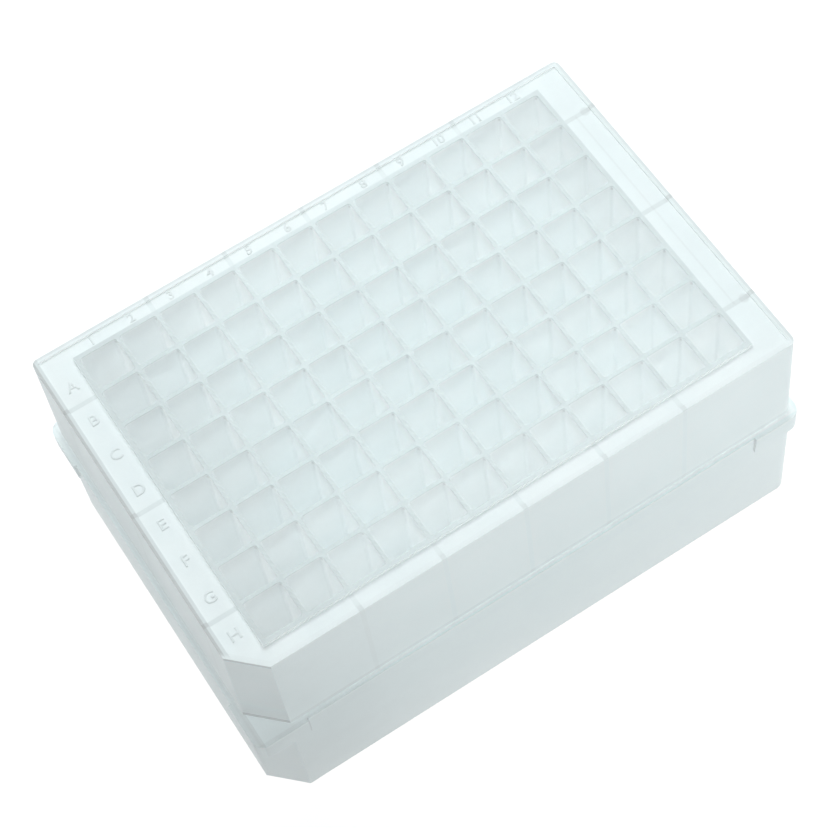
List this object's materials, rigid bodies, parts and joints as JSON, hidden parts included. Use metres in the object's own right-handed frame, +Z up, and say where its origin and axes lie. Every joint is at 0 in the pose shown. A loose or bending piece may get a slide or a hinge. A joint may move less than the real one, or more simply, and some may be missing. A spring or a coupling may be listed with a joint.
{
  "type": "well plate",
  "caption": "Tall rectangular well plate of translucent plastic: a grid of deep square wells in a rimmed deck, a flange round its middle, a hollow skirt and a chamfered key corner.",
  "frame": {"origin": "centre of the footprint, on the surface that the plate stands on", "axes": "+X along the columns from 1 to 12, +Y towards row A, +Z up out of the wells; the chamfered key corner, at well H1, is at -X, -Y"},
  "size_m": [0.1278, 0.0854, 0.06],
  "materials": {
    "polypropylene": "natural polypropylene, milky translucent, satin as moulded"
  },
  "bodies": {
    "root": {"plate": "polypropylene"}
  },
  "joints": []
}
